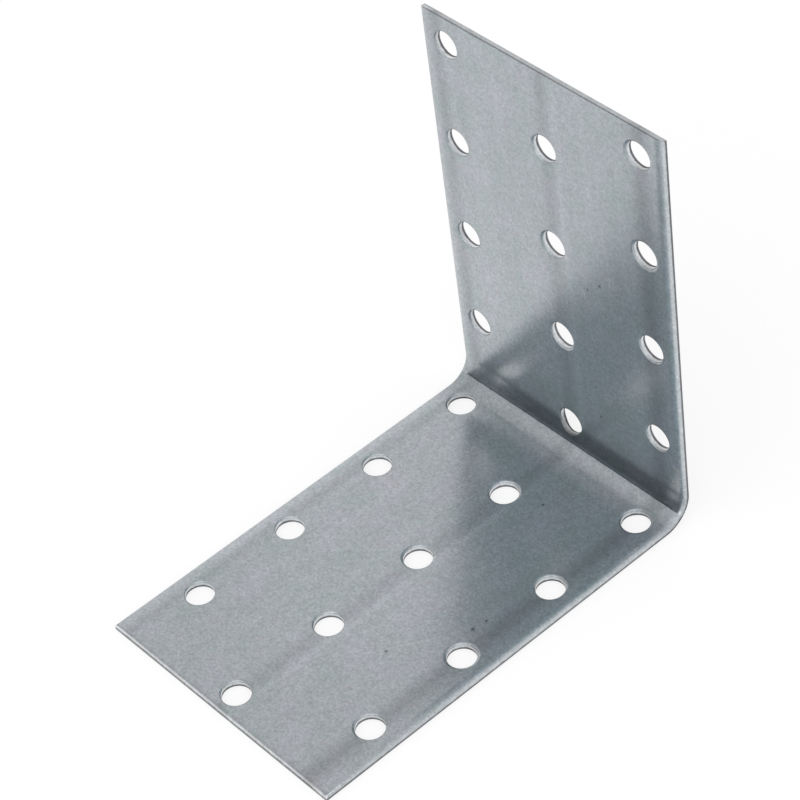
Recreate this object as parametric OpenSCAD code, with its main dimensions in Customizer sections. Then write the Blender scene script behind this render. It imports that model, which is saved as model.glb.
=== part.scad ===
// Perforated angle bracket: one strip of galvanised sheet, punched with staggered
// holes and folded once across the middle into a base and an upright back.
// The origin is in the middle of the base's footprint, on its underside. The heel, where
// the outer faces of base and back would meet, runs along x at the far side, in +y.

/* [Sheet] */
// Width across the sheet, along the fold
bracket_w = 50; // [40:1:80]
// Length of the base, from the outer face of the back to the free end
base_len = 76.5; // [40:0.5:160]
// Height of the back, from the underside to the top edge
back_len = 76.5; // [40:0.5:160]
// Thickness of the sheet
sheet_t = 1.2; // [0.8:0.1:2.5]
// Radius of the long edges on the inner side, rolled by the slitting
edge_r = 0.4; // [0.1:0.05:0.6]

/* [Fold] */
// Inside radius of the fold
bend_r = 4; // [2:0.25:5]
// Depth of the crease that the folding blade leaves along the inside of the fold
crease_depth = 0.12; // [0.05:0.01:0.3]
// Width of the crease
crease_w = 0.4; // [0.2:0.05:1]
// Bare stretch between each end of the crease and the long edge
crease_inset = 1.5; // [0.5:0.25:5]

/* [Holes] */
// Diameter of the nail and screw holes
hole_d = 4.75; // [3:0.05:6]
// Radius rolled by the punch round the inner rim of a hole
rim_r = 0.25; // [0.05:0.05:0.4]
// Distance from each long edge to the middle of its outer column
column_margin = 5; // [4.5:0.25:12]
// Distance between neighbouring holes of one column
row_pitch = 18.75; // [15:0.25:40]
// Distance from the heel to the first holes of the base, which are in its outer columns
base_first_row = 7; // [6.5:0.05:12]
// Distance from the heel to the first hole of the back, which is in its centre column
back_first_row = 5.7; // [5.5:0.05:12]
// Least sheet left between a hole and a free end
end_web = 1.2; // [1:0.1:5]

/* [Hidden] */
$fn = 64;
zinc = [0.66, 0.69, 0.71];
outer_r = bend_r + sheet_t;
hole_r = hole_d / 2;
column_step = bracket_w / 2 - column_margin;
stagger = row_pitch / 2;
past = 1;
rolled_from = outer_r + hole_r / 2;

// Distances from the heel to the holes of one column, as many as the flange holds
function rows(first, flange_len) =
    [for (s = first; s <= flange_len - end_web - hole_r; s = s + row_pitch) s];

// Section across the width, outer face on the x axis, with both inner corners rolled
module sheet_section() {
    translate([-bracket_w / 2, 0])
        square([bracket_w, sheet_t - edge_r]);
    translate([-bracket_w / 2 + edge_r, 0])
        square([bracket_w - 2 * edge_r, sheet_t]);
    for (side = [-1, 1])
        translate([side * (bracket_w / 2 - edge_r), sheet_t - edge_r])
            circle(edge_r);
}

// A straight stretch of upright sheet above the heel, inner face towards -y
module flange(from, to) {
    translate([0, 0, from])
        mirror([0, 1, 0])
            linear_extrude(to - from)
                sheet_section();
}

// Quarter turn of the same section round the fold's axis
module fold() {
    translate([0, -outer_r, outer_r])
        rotate([0, 90, 0])
            rotate_extrude(angle = 90)
                translate([outer_r, 0])
                    rotate(90)
                        sheet_section();
}

// Lays what stands on the heel down as the base, with its inner face up
module lay_down() {
    mirror([0, 1, 1])
        children();
}

// Punched hole at s from the heel, its inner rim rolled unless it opens onto the fold
module hole(column, s) {
    translate([column * column_step, 0, s])
        rotate([90, 0, 0]) {
            translate([0, 0, -past])
                cylinder(h = outer_r + 2 * past, r = hole_r);
            if (s >= rolled_from)
                rotate_extrude()
                    difference() {
                        translate([0, sheet_t - rim_r])
                            square([hole_r + rim_r, rim_r + past]);
                        translate([hole_r + rim_r, sheet_t - rim_r])
                            circle(rim_r);
                    }
        }
}

// All holes of one flange, from the first outer row and the first centre row
module holes(outer_first, centre_first, flange_len) {
    for (s = rows(outer_first, flange_len), side = [-1, 1])
        hole(side, s);
    for (s = rows(centre_first, flange_len))
        hole(0, s);
}

// Fine groove along the middle of the fold's inner face, square to the face there
module crease() {
    translate([0, -outer_r, outer_r])
        rotate([45, 0, 0])
            translate([-bracket_w / 2 + crease_inset, 0, 0])
                rotate([90, 0, 90])
                    linear_extrude(bracket_w - 2 * crease_inset)
                        polygon([
                            [-crease_w, crease_depth - bend_r],
                            [0, -bend_r - crease_depth],
                            [crease_w, crease_depth - bend_r]
                        ]);
}

// The whole bracket: base, fold and back in one sheet
module bracket() {
    color(zinc)
        translate([0, base_len / 2, 0])
            difference() {
                union() {
                    flange(outer_r, back_len);
                    lay_down()
                        flange(outer_r, base_len);
                    fold();
                }
                holes(back_first_row + stagger, back_first_row, back_len);
                lay_down()
                    holes(base_first_row, base_first_row + stagger, base_len);
                crease();
            }
}

bracket();
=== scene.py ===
import math

import bmesh
import bpy
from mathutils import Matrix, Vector


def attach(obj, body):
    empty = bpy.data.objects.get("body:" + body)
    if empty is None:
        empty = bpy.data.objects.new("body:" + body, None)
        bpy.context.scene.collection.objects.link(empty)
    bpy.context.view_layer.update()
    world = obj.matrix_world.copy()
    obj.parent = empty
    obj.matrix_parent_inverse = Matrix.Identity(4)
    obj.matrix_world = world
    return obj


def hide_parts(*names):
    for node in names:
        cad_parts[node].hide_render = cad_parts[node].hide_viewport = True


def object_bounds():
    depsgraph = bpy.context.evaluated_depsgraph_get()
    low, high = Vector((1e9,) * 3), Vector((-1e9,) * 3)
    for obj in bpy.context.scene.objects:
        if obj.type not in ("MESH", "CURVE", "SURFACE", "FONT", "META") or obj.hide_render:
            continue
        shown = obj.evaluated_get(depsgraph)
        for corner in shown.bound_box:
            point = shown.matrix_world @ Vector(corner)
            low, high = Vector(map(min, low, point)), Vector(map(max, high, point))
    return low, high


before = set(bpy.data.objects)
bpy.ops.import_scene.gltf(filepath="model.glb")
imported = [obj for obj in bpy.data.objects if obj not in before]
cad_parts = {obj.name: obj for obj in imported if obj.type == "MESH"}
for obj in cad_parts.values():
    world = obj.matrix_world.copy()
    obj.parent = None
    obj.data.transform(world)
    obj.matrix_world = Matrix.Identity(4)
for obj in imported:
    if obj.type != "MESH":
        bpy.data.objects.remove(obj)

cad_low, cad_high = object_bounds()


# The camera stands to the right of the open side and looks down into the angle, so that both faces
# and all the holes show. It is a long lens on a 36 mm wide sensor, close enough for a small part to
# fill the square picture.

camera = bpy.data.objects.new("camera", bpy.data.cameras.new("camera"))
bpy.context.scene.collection.objects.link(camera)
bpy.context.scene.camera = camera
camera.location = (0.264305, -0.190667, 0.346249)
camera.rotation_euler = [math.radians(turn) for turn in (46.1679, 6.2509, 47.627)]
camera.data.sensor_width = 36
camera.data.lens = 136.952
camera.data.clip_start = 0.01
camera.data.clip_end = 20


# The bracket is one strip of galvanised sheet steel, 1.2 mm thick and 50 mm wide. It is cut to length,
# punched from the inner side while it is flat, which rolls the rims of the holes inwards, and then
# folded once across the middle over a rounded bar, whose edge leaves a fine crease inside the fold.

MM = 0.001
NEAR = 0.004 * MM
CUT_MERGE = 0.0001 * MM
WELD = 0.0005 * MM

WIDTH = 50 * MM
LEG = 76.5 * MM
SHEET = 1.2 * MM
INNER_FACE = -SHEET / 2
OUTER_FACE = SHEET / 2
END_SLANT = 0.35 * MM
CUT_EDGE_BEVEL = 0.07 * MM

INSIDE_BEND = 4 * MM
OUTSIDE_BEND = INSIDE_BEND + SHEET
FOLD_LENGTH = math.pi / 2 * (INSIDE_BEND + SHEET / 2)
FOLD_CUTS = 28
FOLD_STEP = FOLD_LENGTH / FOLD_CUTS
FOLD_MIDDLE = -FOLD_LENGTH / 2
CREASE_DEPTH = 0.12 * MM
CREASE_END = WIDTH / 2 - 1.5 * MM
CREASE_FADE = 1 * MM

BLANK_TOP = LEG - OUTSIDE_BEND
BLANK_END = -FOLD_LENGTH - BLANK_TOP
BLANK_LENGTH = BLANK_TOP - BLANK_END
BACK_HEEL = -OUTSIDE_BEND
BASE_HEEL = OUTSIDE_BEND - FOLD_LENGTH

HOLE_RADIUS = 2.375 * MM
HOLE_SIDES = 72
LONGEST_RIM_EDGE = 0.5 * MM
PUNCH_LENGTH = 4 * MM
OUTER_COLUMN = 20 * MM
ROWS = 4
ROW_PITCH = 18.75 * MM
STAGGER = ROW_PITCH / 2
BASE_FIRST_ROW = 7 * MM
BACK_FIRST_ROW = 5.7 * MM

ROLL_CUT = 1.15 * MM
SIDE_ROLL_WIDTH = 1.6 * MM
SIDE_ROLL_DEPTH = 0.5 * MM
RIM_ROLL_WIDTH = 0.5 * MM
RIM_ROLL_DEPTH = 0.27 * MM
OUTER_RIM_BEVEL = 0.05 * MM


def near(a, b, slack=NEAR):
    """Whether two measures are the same, but for the slack."""
    return abs(a - b) < slack


def pick(kind, wanted):
    """Selects, in edit mode, only the points, edges or faces that wanted accepts."""
    bpy.ops.mesh.select_mode(type=kind)
    bpy.ops.mesh.select_all(action="DESELECT")
    shape = bmesh.from_edit_mesh(bpy.context.object.data)
    parts = {"VERT": shape.verts, "EDGE": shape.edges, "FACE": shape.faces}[kind]
    for part in [part for part in parts if wanted(part)]:
        part.select_set(True)
    bmesh.update_edit_mesh(bpy.context.object.data)


def cut_all(place, facing):
    """Cuts every face of the strip where a plane through that place crosses it."""
    bpy.ops.mesh.select_all(action="SELECT")
    bpy.ops.mesh.bisect(plane_co=place, plane_no=facing, threshold=CUT_MERGE)


hole_places = []
for row in range(ROWS):
    base_row = BASE_HEEL - BASE_FIRST_ROW - row * ROW_PITCH
    back_row = BACK_HEEL + BACK_FIRST_ROW + row * ROW_PITCH
    hole_places.append((-OUTER_COLUMN, base_row))
    hole_places.append((OUTER_COLUMN, base_row))
    hole_places.append((0, base_row - STAGGER))
    hole_places.append((-OUTER_COLUMN, back_row + STAGGER))
    hole_places.append((OUTER_COLUMN, back_row + STAGGER))
    hole_places.append((0, back_row))

# The flat blank: its sheared ends slant, and its long inner edges are rolled by the slitting.

bpy.ops.object.select_all(action="DESELECT")
bpy.ops.mesh.primitive_cube_add(size=1, location=(0, 0, (BLANK_TOP + BLANK_END) / 2),
                                scale=(WIDTH, SHEET, BLANK_LENGTH))
strip = bpy.context.object
strip.name = "angle_sheet"
strip.data.name = "angle_sheet"
bpy.ops.object.transform_apply(location=True, rotation=False, scale=True)

bpy.ops.object.mode_set(mode="EDIT")
pick("VERT", lambda v: near(v.co.z, BLANK_END) and near(v.co.y, INNER_FACE))
bpy.ops.transform.translate(value=(0, 0, END_SLANT))
pick("VERT", lambda v: near(v.co.z, BLANK_TOP) and near(v.co.y, OUTER_FACE))
bpy.ops.transform.translate(value=(0, 0, -END_SLANT))
pick("EDGE", lambda e: all(near(v.co.y, INNER_FACE) and near(v.co.x, e.verts[0].co.x) for v in e.verts))
bpy.ops.mesh.bevel(offset=ROLL_CUT, segments=10, affect="EDGES")
roll_side = WIDTH / 2 - ROLL_CUT - NEAR
roll_floor = INNER_FACE + ROLL_CUT + NEAR
for side in (-1, 1):
    pick("VERT", lambda v: v.co.x * side > roll_side and v.co.y < roll_floor)
    bpy.ops.transform.resize(value=(SIDE_ROLL_WIDTH / ROLL_CUT, SIDE_ROLL_DEPTH / ROLL_CUT, 1),
                             center_override=(side * WIDTH / 2, INNER_FACE, 0))
for column in sorted({x for x, z in hole_places}):
    cut_all((column, 0, 0), (1, 0, 0))
for row in sorted({z for x, z in hole_places}):
    cut_all((0, 0, row), (0, 0, 1))
bpy.ops.object.mode_set(mode="OBJECT")

# The punch: one round tool, copied to every hole.

bpy.ops.object.select_all(action="DESELECT")
first_x, first_z = hole_places[0]
bpy.ops.mesh.primitive_cylinder_add(vertices=HOLE_SIDES, radius=HOLE_RADIUS, depth=PUNCH_LENGTH,
                                    location=(first_x, 0, first_z), rotation=(math.pi / 2, 0, 0))
punch = bpy.context.object
copies = []
for x, z in hole_places[1:]:
    bpy.ops.object.select_all(action="DESELECT")
    punch.select_set(True)
    bpy.context.view_layer.objects.active = punch
    bpy.ops.object.duplicate()
    bpy.context.object.location = (x, 0, z)
    copies.append(bpy.context.object)
bpy.ops.object.select_all(action="DESELECT")
for tool in copies:
    tool.select_set(True)
punch.select_set(True)
bpy.context.view_layer.objects.active = punch
bpy.ops.object.join()
bpy.ops.object.transform_apply(location=True, rotation=True, scale=True)

bpy.ops.object.select_all(action="DESELECT")
strip.select_set(True)
bpy.context.view_layer.objects.active = strip
punched = strip.modifiers.new("punched", "BOOLEAN")
punched.operation = "DIFFERENCE"
punched.solver = "EXACT"
punched.object = punch
bpy.ops.object.modifier_apply(modifier=punched.name)
bpy.data.objects.remove(punch)


def at_hole(v, reach):
    """Whether a point of the strip is within reach of the middle of a hole."""
    return any(math.hypot(v.co.x - x, v.co.z - z) < reach for x, z in hole_places)


def at_rim(edge, face):
    """Whether an edge of the strip is part of a hole's rim on the inner or the outer face."""
    for v in edge.verts:
        if not near(v.co.y, face):
            return False
        if not at_hole(v, HOLE_RADIUS + NEAR) or at_hole(v, HOLE_RADIUS - NEAR):
            return False
    return edge.calc_length() < LONGEST_RIM_EDGE


def in_rim_roll(v):
    """Whether a point lies on the rounded rim of a hole, below the inner face."""
    if not INNER_FACE + NEAR < v.co.y < INNER_FACE + RIM_ROLL_WIDTH + NEAR:
        return False
    return at_hole(v, HOLE_RADIUS + RIM_ROLL_WIDTH + NEAR)


def at_cut_edge(edge):
    """Whether an edge is one of the two long outer edges or lies round one of the two sheared ends."""
    a, b = [v.co for v in edge.verts]
    if near(a.y, OUTER_FACE) and near(b.y, OUTER_FACE) and near(abs(a.x), WIDTH / 2) and near(a.x, b.x):
        return True
    slack = END_SLANT + NEAR
    return any(near(a.z, end, slack) and near(b.z, end, slack) for end in (BLANK_TOP, BLANK_END))


bpy.ops.object.mode_set(mode="EDIT")
bpy.ops.mesh.select_all(action="SELECT")
bpy.ops.mesh.remove_doubles(threshold=WELD)
pick("EDGE", lambda e: at_rim(e, INNER_FACE))
bpy.ops.mesh.bevel(offset=RIM_ROLL_WIDTH, segments=6, affect="EDGES")
pick("VERT", in_rim_roll)
bpy.ops.transform.resize(value=(1, RIM_ROLL_DEPTH / RIM_ROLL_WIDTH, 1), center_override=(0, INNER_FACE, 0))
pick("EDGE", lambda e: at_rim(e, OUTER_FACE))
bpy.ops.mesh.bevel(offset=OUTER_RIM_BEVEL, segments=1, affect="EDGES")
pick("EDGE", at_cut_edge)
bpy.ops.mesh.bevel(offset=CUT_EDGE_BEVEL, segments=2, affect="EDGES")

# The fold: fine cuts let the sheet bend evenly, and the crease is pressed in along its middle.

for cut in range(FOLD_CUTS + 1):
    cut_all((0, 0, -FOLD_STEP * cut), (0, 0, 1))


def by_crease(face):
    """Whether a face of the inner side is one of those next to the middle of the fold."""
    middle = face.calc_center_median()
    return near(middle.z, FOLD_MIDDLE, 2 * FOLD_STEP) and near(middle.y, INNER_FACE)


def in_crease(v, z):
    """Whether a point of the inner side, at that height on the flat strip, is pressed in fully."""
    return near(v.co.z, z) and near(v.co.y, INNER_FACE) and abs(v.co.x) < CREASE_END - CREASE_FADE / 2


for x in (-CREASE_END, CREASE_FADE - CREASE_END, CREASE_END - CREASE_FADE, CREASE_END):
    pick("FACE", by_crease)
    bpy.ops.mesh.bisect(plane_co=(x, 0, 0), plane_no=(1, 0, 0), threshold=CUT_MERGE)
for z, pressed in ((FOLD_MIDDLE, CREASE_DEPTH), (FOLD_MIDDLE - FOLD_STEP, CREASE_DEPTH / 2)):
    pick("VERT", lambda v: in_crease(v, z))
    bpy.ops.transform.translate(value=(0, pressed, 0))
bpy.ops.mesh.select_all(action="SELECT")
bpy.ops.mesh.normals_make_consistent(inside=False)
bpy.ops.object.mode_set(mode="OBJECT")

# Every point keeps its place on the flat strip, in millimetres, for the marks of the rolling.

on_blank = strip.data.attributes.new("on_blank", "FLOAT_VECTOR", "POINT")
for point, value in zip(strip.data.vertices, on_blank.data):
    value.vector = (point.co.x / MM, (OUTER_FACE - point.co.y) / MM, point.co.z / MM)

lowest = min(point.co.z for point in strip.data.vertices)
highest = max(point.co.z for point in strip.data.vertices)
folded = strip.modifiers.new("folded", "SIMPLE_DEFORM")
folded.deform_method = "BEND"
folded.deform_axis = "X"
folded.angle = -math.pi / 2
folded.limits[0] = (-FOLD_LENGTH - lowest) / (highest - lowest)
folded.limits[1] = (0 - lowest) / (highest - lowest)
bpy.ops.object.modifier_apply(modifier=folded.name)
strip.location = (0, cad_high.y - SHEET / 2, OUTSIDE_BEND)
bpy.ops.object.transform_apply(location=True, rotation=False, scale=False)
bpy.ops.object.shade_smooth_by_angle(angle=math.radians(24))
even = strip.modifiers.new("even", "WEIGHTED_NORMAL")
even.mode = "FACE_AREA"
even.keep_sharp = True
bpy.ops.object.modifier_apply(modifier=even.name)

# The zinc is bright and nearly smooth, with a fine mottled grain. The rolling left lengthwise streaks on
# it, and handling left a few specks, scuffs and scratches. The lengthwise bands along the hole columns,
# and the lighter and darker stretches of the strip, are painted light and shade.

ZINC_GREEN_GREY = (0.352, 0.422, 0.442, 1)
ZINC_BLUE_GREY = (0.374, 0.414, 0.456, 1)
SCUFFED = (0.47, 0.49, 0.5, 1)
SCRATCHED = (0.62, 0.64, 0.66, 1)
SPECK_GREY = (0.07, 0.075, 0.08, 1)
# Compared with the same steel in the holes, the front end's burnished and torn colours are painted lighter
# and the long sides' burnished colour is painted darker: painted light and shade.
BURNISHED_HOLE = (0.60, 0.66, 0.69, 1)
BURNISHED_SIDE_PAINTED_SHADE = (0.47, 0.535, 0.565, 1)
BURNISHED_FRONT_PAINTED_LIGHT = (0.74, 0.79, 0.82, 1)
TOP_END_CORNER = (0.37, 0.42, 0.445, 1)
TORN_STEEL = (0.17, 0.185, 0.20, 1)
TORN_FRONT_PAINTED_LIGHT = (0.32, 0.36, 0.38, 1)

zinc = bpy.data.materials.new("galvanised_zinc")
zinc.use_nodes = True
zinc.node_tree.nodes.clear()


def part(kind, **settings):
    """A node of the zinc, with its settings."""
    made = zinc.node_tree.nodes.new(kind)
    for name, value in settings.items():
        setattr(made, name, value)
    return made


def feed(socket, value):
    """Gives an input a number or colour, or joins it to another node's output."""
    if isinstance(value, bpy.types.NodeSocket):
        zinc.node_tree.links.new(value, socket)
    else:
        socket.default_value = value


def calc(operation, a, b=0.0, c=0.0, clamp=False):
    """One sum on the surface, such as ADD or MAXIMUM."""
    made = part("ShaderNodeMath", operation=operation, use_clamp=clamp)
    for socket, value in zip(made.inputs, (a, b, c)):
        feed(socket, value)
    return made.outputs[0]


def times(first, *others):
    """Multiplies all its values."""
    for other in others:
        first = calc("MULTIPLY", first, other)
    return first


def ramp(value, low, high, to_low=0.0, to_high=1.0):
    """Goes smoothly from to_low, where value is low, to to_high, where it is high."""
    made = part("ShaderNodeMapRange", interpolation_type="SMOOTHSTEP")
    feed(made.inputs["Value"], value)
    feed(made.inputs["From Min"], low)
    feed(made.inputs["From Max"], high)
    feed(made.inputs["To Min"], to_low)
    feed(made.inputs["To Max"], to_high)
    return made.outputs["Result"]


def noise(coords, scale, stretch=(1, 1, 1), detail=3.0, rough=0.55, shift=(0, 0, 0)):
    """Soft noise from 0 to 1, with scale in features per millimetre."""
    moved = part("ShaderNodeMapping")
    feed(moved.inputs["Vector"], coords)
    moved.inputs["Scale"].default_value = [scale * s for s in stretch]
    moved.inputs["Location"].default_value = shift
    made = part("ShaderNodeTexNoise")
    feed(made.inputs["Vector"], moved.outputs[0])
    made.inputs["Scale"].default_value = 1.0
    made.inputs["Detail"].default_value = detail
    made.inputs["Roughness"].default_value = rough
    return made.outputs["Fac"]


def sway(value, amount):
    """Turns noise from 0 to 1 into a factor around 1."""
    return calc("MULTIPLY_ADD", calc("SUBTRACT", value, 0.5), amount, 1.0)


def lighter(share, amount):
    """A factor of 1 where share is 0 and of 1 + amount where share is 1; a negative amount darkens."""
    return calc("MULTIPLY_ADD", share, amount, 1.0)


def blend(amount, a, b):
    """Goes from colour a, where amount is 0, to colour b, where it is 1."""
    made = part("ShaderNodeMix", data_type="RGBA")
    feed(made.inputs["Factor"], amount)
    feed(made.inputs["A"], a)
    feed(made.inputs["B"], b)
    return made.outputs["Result"]


in_mm = part("ShaderNodeVectorMath", operation="SCALE")
feed(in_mm.inputs[0], part("ShaderNodeTexCoord").outputs["Object"])
in_mm.inputs["Scale"].default_value = 1 / MM
solid = in_mm.outputs[0]
flat = part("ShaderNodeAttribute", attribute_name="on_blank").outputs["Vector"]
split = part("ShaderNodeSeparateXYZ")
feed(split.inputs[0], flat)
across, depth, along = split.outputs

grain = noise(solid, 2.3, rough=0.6)
mottle = noise(solid, 0.95, detail=2.0, rough=0.5, shift=(5, 2, 9))
cloud = noise(solid, 0.16)
streak = noise(flat, 1.0, stretch=(0.55, 0.3, 0.03))
broad_streak = noise(flat, 1.0, stretch=(0.16, 0.1, 0.012), detail=2.0, shift=(3.1, 0, 1.7))
tone = times(sway(grain, 0.85), sway(mottle, 0.3), sway(cloud, 0.16), sway(streak, 0.14),
             sway(broad_streak, 0.08))


def band(middle, half_width, amount):
    """A soft lengthwise band of the strip, lighter by amount at its middle, or darker where negative."""
    away = calc("ABSOLUTE", calc("SUBTRACT", across, middle))
    return ramp(away, 0.0, half_width, 1 + amount, 1.0)


# Painted shade: the darker bands along the three hole columns stand in for the reflections of a sheet
# warped there by the punching. The narrow lighter band beside the middle column is a painted highlight.
for middle, half_width, amount in (
    (-21.9, 2.2, -0.15),
    (0.4, 2.4, -0.14),
    (20.4, 3.0, -0.25),
    (2.9, 1.3, 0.05),
):
    tone = times(tone, band(middle, half_width, amount))
# Painted highlights along the two rolled long edges.
left_edge_highlight = ramp(across, -23.3, -22.6, 1.05, 1.0)
right_edge_highlight = ramp(across, 24.0, 24.4, 1.0, 1.04)
# Painted light and shade: the strip darkens towards the base's front end, and the back grows lighter
# upwards.
shade_towards_front = ramp(along, -78.0, -38.0, 0.90, 0.96)
light_up_the_back = ramp(along, -2.0, 14.0, 1.0, 1.094)
# Painted shade: a thin darker line at the front end.
front_edge_shade = ramp(along, -78.15, -77.7, 0.88, 1.0)
tone = times(tone, left_edge_highlight, right_edge_highlight, shade_towards_front, light_up_the_back, front_edge_shade)
# Painted light: the left side of the base is lighter, except near the fold.
lit_left_of_base = times(ramp(across, -22.5, -18.5, 1.0, 0.0), ramp(along, -14.0, -9.0, 1.0, 0.0))
tone = times(tone, lighter(lit_left_of_base, 0.10))

middle_of_fold = FOLD_MIDDLE / MM
above_crease = calc("GREATER_THAN", along, middle_of_fold)
below_crease = ramp(along, middle_of_fold - 0.09, middle_of_fold + 0.11, 1.0, 0.0)
# Painted shade: the lower half of the fold and the base next to it are darker. They are also rougher, which
# the roughness below keeps.
formed_and_shaded = times(ramp(along, -11.5, -5.5), below_crease)
# Painted shade: the upper half of the fold, inside the corner, is darker by up to a half.
corner = times(above_crease, ramp(along, middle_of_fold, middle_of_fold + 1.0, 0.25, 1.0))
corner = times(corner, ramp(along, -0.9, 1.3, 1.0, 0.0))
corner = times(corner, ramp(across, -20.0, -8.0), ramp(across, 17.0, 23.0, 1.0, 0.3))
tone = times(tone, lighter(formed_and_shaded, -0.18), lighter(corner, -0.50))


def marks(spots, soft):
    """Shows where round marks of the inner face lie; each is x, z and radius in millimetres."""
    total = None
    for x, z, radius in spots:
        away = part("ShaderNodeVectorMath", operation="DISTANCE")
        feed(away.inputs[0], flat)
        away.inputs[1].default_value = (x, SHEET / MM, z)
        one = ramp(away.outputs["Value"], radius * (1 - soft), radius, 1.0, 0.0)
        total = one if total is None else calc("MAXIMUM", total, one)
    return total


def scratch(x1, z1, x2, z2, half_width):
    """Shows where a thin straight scratch of the inner face lies, from its two ends in millimetres."""
    length = math.hypot(x2 - x1, z2 - z1)
    aside = part("ShaderNodeVectorMath", operation="SUBTRACT")
    feed(aside.inputs[0], flat)
    aside.inputs[1].default_value = (x1, SHEET / MM, z1)
    ahead = part("ShaderNodeVectorMath", operation="DOT_PRODUCT")
    feed(ahead.inputs[0], aside.outputs[0])
    ahead.inputs[1].default_value = ((x2 - x1) / length, 0, (z2 - z1) / length)
    off = part("ShaderNodeVectorMath", operation="DOT_PRODUCT")
    feed(off.inputs[0], aside.outputs[0])
    off.inputs[1].default_value = ((z1 - z2) / length, 0, (x2 - x1) / length)
    from_middle = calc("ABSOLUTE", calc("SUBTRACT", ahead.outputs["Value"], length / 2))
    sideways = calc("ABSOLUTE", off.outputs["Value"])
    faded_ends = ramp(from_middle, length / 4, length / 2, 1.0, 0.0)
    return times(ramp(sideways, 0, half_width, 1.0, 0.0), faded_ends)


back = BACK_HEEL / MM
base = BASE_HEEL / MM
specks = marks([
    (9.7, back + 40.5, 0.45),
    (6.95, back + 38.2, 0.4),
    (7.45, back + 11.6, 0.35),
    (6.9, back + 17.8, 0.3),
    (10.8, base - 51.7, 0.4),
    (17.4, base - 39.7, 0.5),
    (17.7, base - 37.2, 0.35),
    (6.6, base - 14.25, 0.4),
], 0.8)
scuffs = marks([(23.5, back + 7.5, 1.4), (23.7, back + 10.6, 1.2)], 0.9)
scratches = scratch(8.4, base - 31.8, 9.7, base - 29.0, 0.12)
for line in (
    (9.9, base - 29.0, 10.4, base - 28.3, 0.1),
    (11.0, base - 50.6, 15.4, base - 43.4, 0.12),
    (-3.6, base - 23.2, -2.9, base - 18.6, 0.1),
    (5.2, back + 38.8, 6.6, back + 35.3, 0.12),
    (16.1, back + 22.2, 19.2, back + 24.6, 0.1),
    (14.8, back + 20.8, 17.1, back + 23.2, 0.1),
    (21.5, back + 10.1, 24.0, back + 8.2, 0.12),
):
    scratches = calc("MAXIMUM", scratches, scratch(*line))

# The cut faces: a bright burnished band where the blade or the punch went in, and grey torn steel
# below it, with an uneven line between the two.

slope = END_SLANT / SHEET
top = BLANK_TOP / MM
front = BLANK_END / MM
squared_top = calc("ADD", calc("MULTIPLY_ADD", depth, -slope, END_SLANT / MM), along)
at_top_end = ramp(squared_top, top - 0.1, top - 0.05)
at_front_end = ramp(calc("MULTIPLY_ADD", depth, -slope, along), front + 0.056, front + 0.106, 1.0, 0.0)
at_side = ramp(calc("ABSOLUTE", across), 24.2, 24.4)
ragged = noise(flat, 0.8, stretch=(1, 0.3, 1), shift=(4, 0, 2))
ragged = calc("MULTIPLY_ADD", calc("SUBTRACT", ragged, 0.5), 0.35, depth)
ragged = calc("ADD", ragged, times(at_front_end, -0.03))
torn_and_edge_shade = times(ramp(depth, 0.01, 0.05), ramp(ragged, 0.36, 0.48, 1.0, 0.0), calc("SUBTRACT", 1.0, at_top_end))
# Painted shade: a thin dark line, in the colour of torn steel, along the inner edge of the top end.
dark_line_at_top = ramp(calc("ABSOLUTE", calc("SUBTRACT", depth, 1.04)), 0.10, 0.20, 0.9, 0.0)
torn_and_edge_shade = calc("ADD", torn_and_edge_shade, times(at_top_end, dark_line_at_top))
burnished = times(ramp(ragged, 0.36, 0.48), ramp(depth, 0.85, 1.0, 1.0, 0.0))

colour = blend(ramp(cloud, 0.3, 0.7), ZINC_GREEN_GREY, ZINC_BLUE_GREY)
colour = blend(times(scuffs, 0.6), colour, SCUFFED)
colour = blend(times(scratches, 0.45), colour, SCRATCHED)
colour = blend(times(specks, 0.75), colour, SPECK_GREY)
# Burnished steel, painted lighter on the front end and darker on the long sides.
bright = blend(at_front_end, blend(at_side, BURNISHED_HOLE, BURNISHED_SIDE_PAINTED_SHADE), BURNISHED_FRONT_PAINTED_LIGHT)
colour = blend(burnished, colour, bright)
colour = blend(times(at_top_end, ramp(depth, 1.1, 1.18, 1.0, 0.0)), colour, TOP_END_CORNER)
# Torn steel, painted lighter on the front end.
colour = blend(torn_and_edge_shade, colour, blend(at_front_end, TORN_STEEL, TORN_FRONT_PAINTED_LIGHT))
toned = part("ShaderNodeVectorMath", operation="SCALE")
feed(toned.inputs[0], colour)
feed(toned.inputs["Scale"], tone)

rough = calc("MULTIPLY_ADD", calc("SUBTRACT", grain, 0.5), 0.08, 0.24)
rough = calc("ADD", rough, times(formed_and_shaded, 0.20))
rough = calc("ADD", rough, times(scuffs, 0.12))
rough = calc("ADD", rough, ramp(along, 15.0, 55.0, 0.0, 0.08))
rough = calc("ADD", rough, times(torn_and_edge_shade, 0.25), clamp=True)

height = times(noise(solid, 0.07, detail=1.0), 0.05)
height = calc("ADD", height, times(noise(solid, 2.6), 0.0012))

# The shading normals of the inner face are turned by these degrees along the strip, most of all in the
# fold, as if the face were a little bowed; the mesh itself stays flat.

lean = ramp(along, -12.5, -8.0, 6.5, 0.0)
lean = calc("ADD", lean, ramp(calc("ABSOLUTE", calc("ADD", along, 7.4)), 0.0, 3.6, -7.5, 0.0))
lean = calc("ADD", lean, times(above_crease, ramp(along, middle_of_fold, 0.0, -32.0, 0.0)))
lean = calc("ADD", lean, ramp(along, 4.0, 22.0, 0.0, -3.0))
on_inner_face = ramp(depth, 1.0, 1.1)
bowed = part("ShaderNodeVectorRotate", rotation_type="X_AXIS")
feed(bowed.inputs["Vector"], part("ShaderNodeNewGeometry").outputs["Normal"])
feed(bowed.inputs["Angle"], times(calc("RADIANS", lean), on_inner_face, -1.0))

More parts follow.
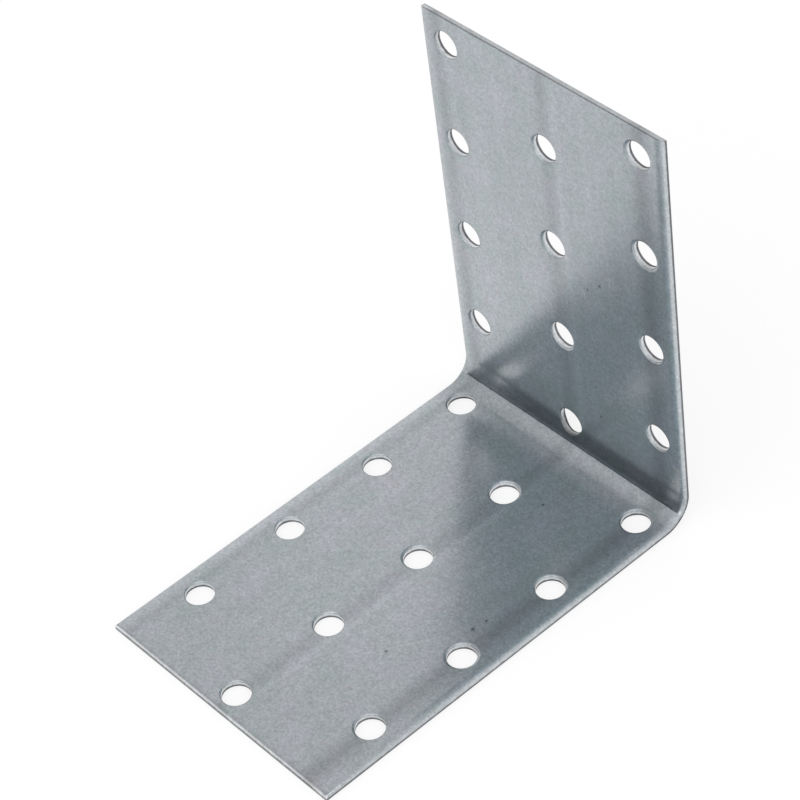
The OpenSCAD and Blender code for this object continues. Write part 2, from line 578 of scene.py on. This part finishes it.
bump = part("ShaderNodeBump")
bump.inputs["Strength"].default_value = 1.0
bump.inputs["Distance"].default_value = MM
feed(bump.inputs["Height"], height)
feed(bump.inputs["Normal"], bowed.outputs[0])

surface = part("ShaderNodeBsdfPrincipled")
surface.inputs["Metallic"].default_value = 1.0
feed(surface.inputs["Base Color"], toned.outputs[0])
feed(surface.inputs["Roughness"], rough)
feed(surface.inputs["Normal"], bump.outputs[0])
feed(part("ShaderNodeOutputMaterial").inputs["Surface"], surface.outputs[0])

strip.data.materials.append(zinc)
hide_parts("bracket")
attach(strip, "root")


# The floor is a wide sheet of smooth white card, just under the base. What looks at it straight or in
# the metal sees it white, and it still darkens softly where the bracket keeps the light off it.

WHITE = (1, 1, 1, 1)
WHITE_IN_METAL = (1.10, 1.02, 1.0, 1)
SHARE_SEEN_WHITE = 0.75


def mirrored_white(tree, rays):
    """A white that metal mirrors a little warmer."""
    white = tree.nodes.new("ShaderNodeMix")
    white.data_type = "RGBA"
    white.inputs["A"].default_value = WHITE
    white.inputs["B"].default_value = WHITE_IN_METAL
    tree.links.new(rays.outputs["Is Glossy Ray"], white.inputs["Factor"])
    return white.outputs["Result"]


bpy.ops.object.select_all(action="DESELECT")
bpy.ops.mesh.primitive_plane_add(size=6, location=(0, 0, -0.0001))
floor = bpy.context.object
floor.name = "floor"
card = bpy.data.materials.new("white_card")
card.use_nodes = True
card.node_tree.nodes.clear()
card_parts = card.node_tree.nodes
card_links = card.node_tree.links
rays = card_parts.new("ShaderNodeLightPath")
paper = card_parts.new("ShaderNodeBsdfDiffuse")
paper.inputs["Color"].default_value = (0.88, 0.88, 0.88, 1)
glow = card_parts.new("ShaderNodeEmission")
glow.inputs["Strength"].default_value = 1.0
card_links.new(mirrored_white(card.node_tree, rays), glow.inputs["Color"])
seen = card_parts.new("ShaderNodeMath")
seen.operation = "MAXIMUM"
card_links.new(rays.outputs["Is Camera Ray"], seen.inputs[0])
card_links.new(rays.outputs["Is Glossy Ray"], seen.inputs[1])
part_seen = card_parts.new("ShaderNodeMath")
part_seen.operation = "MULTIPLY"
part_seen.inputs[1].default_value = SHARE_SEEN_WHITE
card_links.new(seen.outputs[0], part_seen.inputs[0])
both = card_parts.new("ShaderNodeMixShader")
card_links.new(part_seen.outputs[0], both.inputs[0])
card_links.new(paper.outputs[0], both.inputs[1])
card_links.new(glow.outputs[0], both.inputs[2])
card_end = card_parts.new("ShaderNodeOutputMaterial")
card_links.new(both.outputs[0], card_end.inputs["Surface"])
floor.data.materials.append(card)


# The light is that of a small white studio: a plain white room, and one wide soft lamp high over the
# viewer's side.

LAMP_PLACE = Vector((0.4, -0.5, 0.7))
LAMP_AIM = Vector((-0.05, -0.02, 0.0))
LAMP_SIDE = 1.4
LAMP_POWER = 4.0

room = bpy.data.worlds.new("white_room")
bpy.context.scene.world = room
room.use_nodes = True
room_rays = room.node_tree.nodes.new("ShaderNodeLightPath")
room_white = mirrored_white(room.node_tree, room_rays)
room.node_tree.links.new(room_white, room.node_tree.nodes["Background"].inputs["Color"])

lamp = bpy.data.objects.new("lamp_over_front", bpy.data.lights.new("lamp_over_front", "AREA"))
bpy.context.scene.collection.objects.link(lamp)
lamp.data.shape = "RECTANGLE"
lamp.data.size = LAMP_SIDE
lamp.data.size_y = LAMP_SIDE
lamp.data.energy = LAMP_POWER
lamp.location = LAMP_PLACE
lamp.rotation_mode = "QUATERNION"
lamp.rotation_quaternion = (LAMP_AIM - LAMP_PLACE).to_track_quat("-Z", "Y")

bpy.context.scene.view_settings.view_transform = "Standard"
